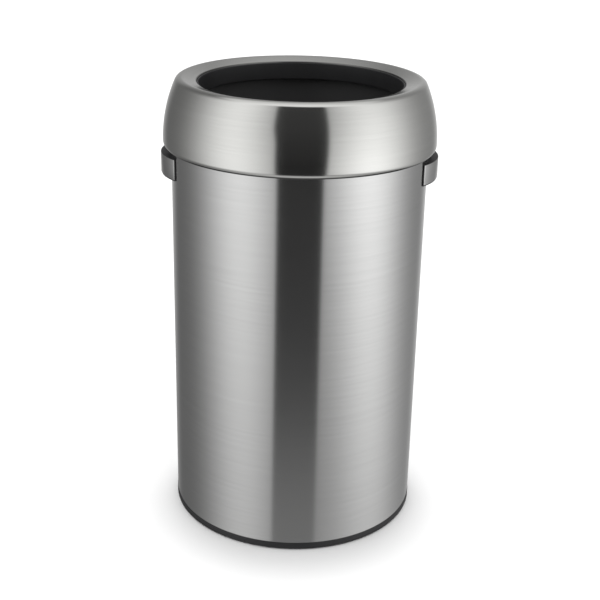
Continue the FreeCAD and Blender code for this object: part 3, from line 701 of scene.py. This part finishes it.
def pan_mesh():
    """The pressed bottom that carries the bucket: a raised plateau inside a flat rim."""
    edge = shell_inside - FIT - RING_WALL - FIT
    step_end = PLATEAU_RADIUS + PAN_STEP
    low = shelf_height
    top = shelf_height + PAN_GAUGE
    tight = 2.0 * MM
    wide = tight + PAN_GAUGE
    return turned_mesh("base_pan_pressing", rounded([
        (0, low + PAN_STEP, 0),
        (PLATEAU_RADIUS, low + PAN_STEP, tight),
        (step_end, low, wide),
        (edge, low, 0.3 * MM),
        (edge, top, 0.3 * MM),
        (step_end, top, tight),
        (PLATEAU_RADIUS, top + PAN_STEP, wide),
        (0, top + PAN_STEP, 0),
    ], closed=False), closed=False)


def pads_mesh():
    """Round rubber pads, each with a stud that is pushed into a boss."""
    pad_top = ring_bottom
    stud_top = pad_top + STUD_LENGTH
    outline = rounded([
        (0, 0, 0),
        (BOSS_RADIUS, 0, 0.6 * MM),
        (BOSS_RADIUS, pad_top, 0.2 * MM),
        (SCREW_RADIUS, pad_top, 0),
        (SCREW_RADIUS, stud_top, 0.5 * MM),
        (0, stud_top, 0),
    ], closed=False)
    pad = turned_mesh("pad", outline, closed=False, steps=SMALL_TURN_STEPS)
    pad.transform(Matrix.Translation((fixing_circle, 0, 0)))
    return copies_mesh("base_pads_rubber", pad, PAD_RUBBER, FIXING_COUNT)


def screw_mesh(length):
    """A pan-head screw with a cross slot: its seat at the origin, its head above and its shank below."""
    outline = rounded([
        (0, -length, 0),
        (SCREW_RADIUS * 0.5, -length, 0),
        (SCREW_RADIUS, -length + SCREW_RADIUS, 0),
        (SCREW_RADIUS, 0, 0),
        (HEAD_RADIUS, 0, 0.2 * MM),
        (HEAD_RADIUS, HEAD_HEIGHT * 0.66, 0.7 * MM),
        (HEAD_RADIUS * 0.8, HEAD_HEIGHT, 1.0 * MM),
        (0, HEAD_HEIGHT, 0),
    ], closed=False)
    uncut = turned_mesh("screw_uncut", outline, closed=False, steps=SMALL_TURN_STEPS)
    screw = new_piece("screw_uncut", uncut, PLATED_STEEL)
    cutter = new_piece("cross_slot", mesh_from("cross_slot", cross_slot), PLATED_STEEL)
    return cut_mesh("screw", screw, cutter)


def cross_slot(shape):
    """A tapering cross for a driver."""
    half = 0.55 * MM
    arm = 2.3 * MM
    tip = 0.6
    bottom = HEAD_HEIGHT - 1.5 * MM
    top = HEAD_HEIGHT + 0.5 * MM
    outline = []
    for quarter in range(4):
        turn = Matrix.Rotation(math.radians(90 * quarter), 2)
        outline += [turn @ Vector(corner) for corner in ((arm, -half), (arm, half), (half, half))]
    rings = []
    for height, scale in ((bottom, tip), (top, 1.0)):
        rings.append([shape.verts.new((point.x * scale, point.y * scale, height)) for point in outline])
    count = len(outline)
    for index in range(count):
        following = (index + 1) % count
        shape.faces.new([rings[0][index], rings[0][following], rings[1][following], rings[1][index]])
    shape.faces.new(rings[0])
    shape.faces.new(rings[1])


def base_screws_mesh():
    seat = shelf_height + PAN_GAUGE
    tip = ring_bottom + STUD_LENGTH + TIP_GAP
    screw = screw_mesh(seat - tip)
    screw.transform(Matrix.Translation((fixing_circle, 0, seat)))
    return copies_mesh("base_screws_plated", screw, PLATED_STEEL, FIXING_COUNT)


# Handles, made on the right side and turned to the left

def round_edges(shape, rounding):
    corner = math.radians(CORNER_ANGLE)
    edges = [edge for edge in shape.edges if edge.calc_face_angle(0.0) > corner]
    settings = {"segments": BEVEL_STEPS, "profile": 0.5, "affect": "EDGES", "clamp_overlap": True}
    bmesh.ops.bevel(shape, geom=edges, offset=rounding, **settings)


def strip_mesh(name, outside, inside, bottom, top, rounding):
    """A bent strip between two paths seen from above, with rounded edges and a brush map round the can."""
    def build(shape):
        stations = []
        for outer, inner in zip(outside, inside):
            corners = ((outer, bottom), (outer, top), (inner, top), (inner, bottom))
            stations.append([shape.verts.new((*point, height)) for point, height in corners])
        for here, there in zip(stations, stations[1:]):
            for index in range(4):
                following = (index + 1) % 4
                shape.faces.new([here[index], here[following], there[following], there[index]])
        shape.faces.new(stations[0])
        shape.faces.new(stations[-1])
        bmesh.ops.recalc_face_normals(shape, faces=shape.faces)
        round_edges(shape, rounding)
        sheet = shape.loops.layers.uv.verify()
        for face in shape.faces:
            for loop in face.loops:
                x, y, z = loop.vert.co
                loop[sheet].uv = (z, math.atan2(y, x) * body_radius)

    mesh = mesh_from(name, build)
    mesh.uv_layers[0].name = BRUSH_MAP
    return mesh


def bow_path(offset):
    """From one end of a handle's strip over its bow to the other, at an offset from the cup's face."""
    front = strip_front - STRIP_GAUGE - FIT
    end = polar(body_radius + FIT + HANDLE_END, HANDLE_HALF_ANGLE)
    middle = (front ** 2 - end.length_squared) / (2 * (front - end.x))
    radius = front - middle
    half = math.degrees(math.asin((end.y - STRIP_END_GAP) / radius))
    return arc((middle, 0), radius + offset, half, -half, 48)


def handle_strip_mesh():
    outside = bow_path(FIT + STRIP_GAUGE)
    inside = bow_path(FIT)
    return strip_mesh("handle_strip", outside, inside, strip_bottom, strip_top, EDGE_BREAK)


def backing_mesh():
    outside = shell_inside - FIT
    inside = outside - BACKING_GAUGE
    half = BACKING_HALF_ANGLE
    low = handle_screw_height - BACKING_HEIGHT / 2
    paths = [arc((0, 0), radius, -half, half, 24) for radius in (outside, inside)]
    return strip_mesh("handle_backing", *paths, low, low + BACKING_HEIGHT, EDGE_BREAK)


def handle_screws_mesh():
    seat = shell_inside - FIT - BACKING_GAUGE - FIT
    tip = body_radius + FIT + SCREW_BITE
    screw = screw_mesh(tip - seat)
    laid_flat = Matrix.Rotation(-math.pi / 2, 4, "Y")
    screw.transform(Matrix.Translation((seat, 0, handle_screw_height)) @ laid_flat)
    first = -HANDLE_SCREW_ANGLE
    return copies_mesh("handle_screws", screw, PLATED_STEEL, 2, first, 2 * HANDLE_SCREW_ANGLE)


def cup_mesh():
    """The cup of the right handle, with the soft edges of a moulding."""
    shape = bmesh.new()
    shape.from_mesh(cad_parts["right_handle_cup"].data)
    bmesh.ops.remove_doubles(shape, verts=shape.verts, dist=0.001 * MM)
    flat = math.radians(0.5)
    bmesh.ops.dissolve_limit(shape, angle_limit=flat, verts=shape.verts, edges=shape.edges)
    round_edges(shape, EDGE_BREAK)
    mesh = bpy.data.meshes.new("handle_cup")
    shape.to_mesh(mesh)
    shape.free()
    finish_mesh(mesh)
    return mesh


def turned_to_left(mesh):
    copy = mesh.copy()
    copy.transform(Matrix.Rotation(math.pi, 4, "Z"))
    return copy


# Placing pieces on the frame

def show(node, mesh, finish, body):
    """Show a mesh in place of a node, riding on its body."""
    piece = new_piece(f"{node}_shown", mesh, finish)
    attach(piece, body)
    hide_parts(node)


COPIES = copies_tree()
SHELL_STEEL = brushed_steel("shell_steel_brushed", dark=(0.63, 0.63, 0.625), light=(0.68, 0.68, 0.675),
                            roughness=(0.145, 0.168))
# The hood's hem and mouth's bend carry painted shade
HOOD_STEEL = brushed_steel("hood_steel_brushed", dark=(0.63, 0.63, 0.612), light=(0.68, 0.68, 0.66),
                           roughness=(0.141, 0.164), painted_shade=hood_painted_shade)
STRIP_STEEL = brushed_steel("strip_steel_brushed", dark=(0.61, 0.61, 0.605), light=(0.66, 0.66, 0.655),
                            roughness=(0.151, 0.176))
PLATED_STEEL = plated_steel("zinc_plated_steel")
BLACK_PLASTIC = moulded_plastic("black_moulded_plastic", dark=(0.016, 0.016, 0.017),
                                light=(0.024, 0.024, 0.025), roughness=(0.38, 0.5),
                                grain=2600, gloss=0.33)
BUCKET_PLASTIC = moulded_plastic("bucket_moulded_plastic", dark=(0.034, 0.034, 0.035),
                                 light=(0.046, 0.046, 0.047), roughness=(0.45, 0.58),
                                 grain=1500, gloss=0.5)
PAD_RUBBER = pad_rubber("pad_rubber_matt")

show("body_shell", shell_mesh(), SHELL_STEEL, "can")
show("base_ring", base_ring_mesh(), BLACK_PLASTIC, "can")
show("base_pan", pan_mesh(), PLATED_STEEL, "can")
show("base_screws", base_screws_mesh(), PLATED_STEEL, "can")
show("base_pads", pads_mesh(), PAD_RUBBER, "can")
handle_pieces = (
    ("cup", cup_mesh(), BLACK_PLASTIC, "black_plastic"),
    ("plate", handle_strip_mesh(), STRIP_STEEL, "strip_steel"),
    ("backing", backing_mesh(), PLATED_STEEL, "plated_steel"),
    ("screws", handle_screws_mesh(), PLATED_STEEL, "plated_steel"),
)
for kind, mesh, finish, slot in handle_pieces:
    show(f"left_handle_{kind}", turned_to_left(mesh), finish, "can")
    show(f"right_handle_{kind}", mesh, finish, "can")
show("liner_bucket", bucket_mesh(), BUCKET_PLASTIC, "bucket")
show("lid_hood", hood_mesh(), HOOD_STEEL, "lid")
show("mouth_collar", collar_mesh(), BLACK_PLASTIC, "lid")
show("lid_seat_ring", seat_ring_mesh(), BLACK_PLASTIC, "lid")


# Floor and light

FLOOR_REACH = 12.0
FLOOR_TONES = (0.9, 0.91)
SUN_SHARE = 0.24
SKY_SHARE = 1.0
SUN_WIDTH = 8.0
SUN_TILT = 5.0


def floor_finish():
    """Pale matt floor, faintly uneven."""
    material, tree, shader = new_finish("pale_floor")
    clouds = noise(tree, scaled(tree, own_place(tree), FLOOR_CLOUDS))
    tree.links.new(remap(tree, clouds, *NOISE_RANGE, *FLOOR_TONES), shader.inputs["Base Color"])
    shader.inputs["Roughness"].default_value = 1.0
    shader.inputs["Specular IOR Level"].default_value = 0.0
    return material


def make_floor():
    mesh = bpy.data.meshes.new("floor")
    shape = bmesh.new()
    bmesh.ops.create_grid(shape, x_segments=1, y_segments=1, size=FLOOR_REACH)
    shape.to_mesh(mesh)
    shape.free()
    floor = new_piece("floor", mesh, floor_finish())
    floor.visible_glossy = False


def make_sun():
    """Soft light from overhead, a little from behind. With the sky's share the bare floor is white."""
    lamp = bpy.data.lights.new("overhead", "SUN")
    lamp.energy = SUN_SHARE / FLOOR_TONES[0] * math.pi
    lamp.angle = math.radians(SUN_WIDTH)
    sun = bpy.data.objects.new("overhead", lamp)
    sun.rotation_euler = (math.radians(-SUN_TILT), 0, 0)
    sun.visible_glossy = False
    bpy.context.scene.collection.objects.link(sun)


# The studio that the steel mirrors

# Heights, and turns counted from the front, are in degrees. Tones are shares of white.
# The two values of a pair belong to the two ends of the span that they go with.
# The body mirrors mostly the low heights, and the hood the others.
BODY_HEIGHTS = (-34.5, -17.5)
HOOD_HEIGHTS = (-12, 28)
SIDE_BLEND = 0.15

BOX_WIDTH = 38
BOX_LEAN_HEIGHTS = (0, 20)
BOX_LEAN_TURNS = (0, 3)
LEFT_BOX_TURNS = (49, 54)
LEFT_BOX_FADE = (0.42, 1.0)
LEFT_BOX_TONES = (1.02, 0.92)
RIGHT_BOX_TURNS = (83, 61)
RIGHT_BOX_FADE = (0.27, 1.0)
RIGHT_BOX_TONES = (1.13, 0.75)

LEFT_ROOM_TONE = 0.15
RIGHT_ROOM_TONES = (0.29, 0.27)
BACKDROP_TURNS = (140, 172)
BACKDROP_FADE = (0.3, 1.0)
BACKDROP_TONES = (0.36, 0.08)
BACKDROP_TOP_HEIGHTS = (28, 42)
BACKDROP_TOP_TONES = (0, 0.17)

FLAG_HEIGHTS = (-12, 20)
FLAG_TONES = (0.014, 0.034)
FLAG_FOOT_HEIGHTS = (-15, -22)
FLAG_FOOT_TONES = (0, 0.021)
FLAG_LEFT_HEIGHTS = (8, 19)
FLAG_LEFT_TURNS = (19.6, 22.2)
FLAG_RIGHT_HEIGHTS = (-20, 20)
FLAG_RIGHT_TURNS = (21.7, 24.6)
FLAG_SIDE_BLUR = (-1, 1)
FLAG_END_HEIGHTS = (-30.4, -31.8)
FRONT_FLOOR_HEIGHTS = (-32.5, -39)
FRONT_FLOOR_TONES = (0.31, 0.03)

GROUND_HEIGHTS = (-35, -44)
GROUND_DEPTHS = (-0.6, 0.6)
GROUND_TONES = (0.6, 0.03)
CEILING_HEIGHTS = (45, 58)
CEILING_DEPTHS = (-0.3, 0.6)
CEILING_TONES = (1.05, 0.62)


def by_height(tree, height, fade, tones):
    """A tone that changes over the hood's heights and fades over the body's."""
    body = by_angle(tree, height, BODY_HEIGHTS, fade)
    hood = by_angle(tree, height, HOOD_HEIGHTS, tones)
    return math_node(tree, "MULTIPLY", body, hood)


def softboxes(tree, turn, height, by_side):
    """A softbox on either side, brightest at its middle."""
    left_middle = by_angle(tree, height, BODY_HEIGHTS, radians(LEFT_BOX_TURNS))
    right_middle = by_angle(tree, height, BODY_HEIGHTS, radians(RIGHT_BOX_TURNS))
    lean = by_angle(tree, height, BOX_LEAN_HEIGHTS, radians(BOX_LEAN_TURNS))
    middle = math_node(tree, "ADD", by_side(left_middle, right_middle), lean)
    away = math_node(tree, "SUBTRACT", turn, middle)
    widths = math_node(tree, "DIVIDE", away, math.radians(BOX_WIDTH))
    falloff = math_node(tree, "MULTIPLY", math_node(tree, "POWER", widths, 2.0), -1.0)
    left_tone = by_height(tree, height, LEFT_BOX_FADE, LEFT_BOX_TONES)
    right_tone = by_height(tree, height, RIGHT_BOX_FADE, RIGHT_BOX_TONES)
    glow = math_node(tree, "EXPONENT", falloff)
    return math_node(tree, "MULTIPLY", glow, by_side(left_tone, right_tone))


def backdrop(tree, turn, height):
    """A pale backdrop behind the can."""
    behind = by_angle(tree, turn, BACKDROP_TURNS, (0, 1), smooth=True)
    middle = by_height(tree, height, BACKDROP_FADE, BACKDROP_TONES)
    top = by_angle(tree, height, BACKDROP_TOP_HEIGHTS, BACKDROP_TOP_TONES)
    return math_node(tree, "MULTIPLY", behind, math_node(tree, "ADD", middle, top))


def flag_and_floor(tree, height):
    """A black flag in front of the can, and the lit floor under it."""
    flag = by_angle(tree, height, FLAG_HEIGHTS, FLAG_TONES)
    foot = by_angle(tree, height, FLAG_FOOT_HEIGHTS, FLAG_FOOT_TONES)
    floor = by_angle(tree, height, FRONT_FLOOR_HEIGHTS, FRONT_FLOOR_TONES)
    under = by_angle(tree, height, FLAG_END_HEIGHTS, (0, 1), smooth=True)
    return blend(tree, floor, under, math_node(tree, "ADD", flag, foot))


def studio_round(tree, sideways, front, height):
    """Brightness round the can: softboxes and a room at the sides and behind, a black flag in front."""
    right = remap(tree, sideways, -SIDE_BLEND, SIDE_BLEND, 0, 1, smooth=True)
    turn = math_node(tree, "ABSOLUTE", math_node(tree, "ARCTAN2", sideways, front))

    def by_side(left_value, right_value):
        return blend(tree, right_value, right, left_value)

    right_room = by_angle(tree, height, BODY_HEIGHTS, RIGHT_ROOM_TONES)
    room = math_node(tree, "ADD", by_side(LEFT_ROOM_TONE, right_room), backdrop(tree, turn, height))
    open_side = math_node(tree, "ADD", softboxes(tree, turn, height, by_side), room)
    left_edge = by_angle(tree, height, FLAG_LEFT_HEIGHTS, radians(FLAG_LEFT_TURNS))
    right_edge = by_angle(tree, height, FLAG_RIGHT_HEIGHTS, radians(FLAG_RIGHT_TURNS))
    past = math_node(tree, "SUBTRACT", turn, by_side(left_edge, right_edge))
    clear = by_angle(tree, past, FLAG_SIDE_BLUR, (0, 1), smooth=True)
    return blend(tree, open_side, clear, flag_and_floor(tree, height))


def make_studio():
    """White all round to the eye; the steel mirrors a studio."""
    world = bpy.data.worlds.new("studio")
    bpy.context.scene.world = world
    world.use_nodes = True
    tree = world.node_tree
    tree.nodes.clear()
    direction = add_node(tree, "ShaderNodeTexCoord").outputs["Generated"]
    axes = add_node(tree, "ShaderNodeSeparateXYZ", {"Vector": direction})
    depth = axes.outputs["Y"]
    front = math_node(tree, "MULTIPLY", depth, -1.0)
    height = math_node(tree, "ARCSINE", axes.outputs["Z"])
    around = studio_round(tree, axes.outputs["X"], front, height)
    below = by_angle(tree, height, GROUND_HEIGHTS, (0, 1), smooth=True)
    above = by_angle(tree, height, CEILING_HEIGHTS, (0, 1), smooth=True)
    ground = remap(tree, depth, *GROUND_DEPTHS, *GROUND_TONES)
    ceiling = remap(tree, depth, *CEILING_DEPTHS, *CEILING_TONES)
    mirrored = blend(tree, ceiling, above, blend(tree, ground, below, around))
    path = add_node(tree, "ShaderNodeLightPath")
    sky = SKY_SHARE / FLOOR_TONES[0]
    lit = blend(tree, mirrored, path.outputs["Is Glossy Ray"], sky)
    shown = blend(tree, 1.0, path.outputs["Is Camera Ray"], lit)
    background = add_node(tree, "ShaderNodeBackground", {"Color": shown, "Strength": 1.0})
    add_node(tree, "ShaderNodeOutputWorld", {"Surface": background.outputs[0]})


# Camera, where the photograph's stood

IMAGE_SIZE = 600
FOCAL_PIXELS = 1162.0
SENSOR = 36.0
CAMERA_PLACE = (0.0, -1.5735, 0.9387)
CAMERA_PITCH = 21.77
CAMERA_YAW = -0.18
CAMERA_ROLL = 1.27


def make_camera():
    data = bpy.data.cameras.new("camera")
    data.sensor_width = SENSOR
    data.lens = FOCAL_PIXELS / IMAGE_SIZE * SENSOR
    camera = bpy.data.objects.new("camera", data)
    bpy.context.scene.collection.objects.link(camera)
    pitch = math.radians(90 - CAMERA_PITCH)
    turn = Matrix.Rotation(math.radians(CAMERA_YAW), 4, "Z") @ Matrix.Rotation(pitch, 4, "X")
    turn = turn @ Matrix.Rotation(math.radians(CAMERA_ROLL), 4, "Z")
    camera.matrix_world = Matrix.Translation(CAMERA_PLACE) @ turn
    bpy.context.scene.camera = camera


make_floor()
make_sun()
make_studio()
make_camera()
bpy.context.scene.view_settings.view_transform = "Standard"
